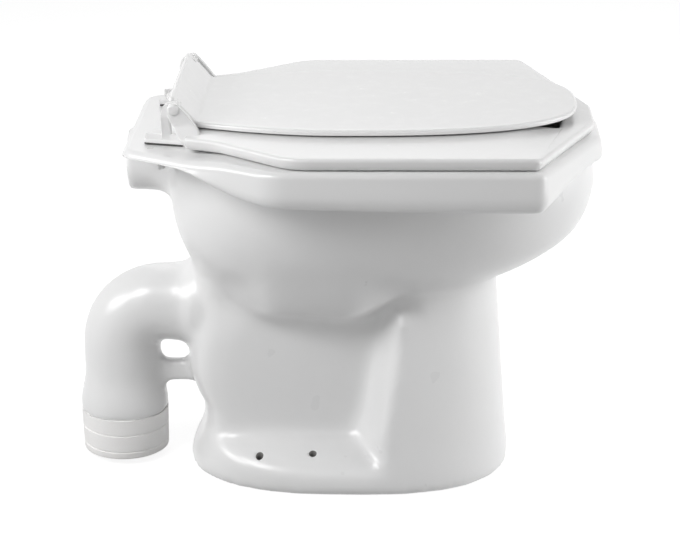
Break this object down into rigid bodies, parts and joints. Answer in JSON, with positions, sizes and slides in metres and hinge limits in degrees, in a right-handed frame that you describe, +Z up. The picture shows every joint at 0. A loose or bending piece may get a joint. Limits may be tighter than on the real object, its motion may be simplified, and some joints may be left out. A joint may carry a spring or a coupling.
{
  "type": "s-trap toilet",
  "caption": "Floor-standing glazed closet with an apron rim, side recesses and a rear S-trap outlet turned to the floor, with a hinged seat ring and lid.",
  "frame": {"origin": "on the floor, under the middle of the closet's length and width", "axes": "+Z up, -Y towards the nose of the rim, +X to the right hand of someone facing the nose"},
  "size_m": [0.414, 0.574, 0.4388],
  "materials": {
    "glaze": "glossy white glaze",
    "seat": "satin gloss white moulding",
    "hinge": "satin white moulding",
    "rubber": "matt white rubber"
  },
  "bodies": {
    "closet": {"closet_body": "glaze", "hinge_bracket_left": "hinge", "hinge_pin_left": "hinge", "bracket_gasket_left": "rubber", "fixing_bolt_left": "hinge", "bolt_cap_left": "hinge", "nut_washer_left": "rubber", "wing_nut_left": "hinge", "hinge_bracket_right": "hinge", "hinge_pin_right": "hinge", "bracket_gasket_right": "rubber", "fixing_bolt_right": "hinge", "bolt_cap_right": "hinge", "nut_washer_right": "rubber", "wing_nut_right": "hinge"},
    "seat": {"seat_ring": "seat", "seat_buffer_front_left": "rubber", "seat_buffer_front_right": "rubber", "seat_buffer_rear_left": "rubber", "seat_buffer_rear_right": "rubber"},
    "lid": {"seat_lid": "seat", "lid_buffer_front_left": "rubber", "lid_buffer_front_right": "rubber", "lid_buffer_rear_left": "rubber", "lid_buffer_rear_right": "rubber"}
  },
  "joints": [
    {"name": "seat_hinge", "type": "hinge", "parent": "closet", "child": "seat", "pos_m": [0, 0.16002, 0.42899], "axis": [-1, 0, 0], "range_deg": [0, 95]},
    {"name": "lid_hinge", "type": "hinge", "parent": "seat", "child": "lid", "pos_m": [0, 0.16002, 0.42899], "axis": [-1, 0, 0], "range_deg": [0, 100]}
  ]
}
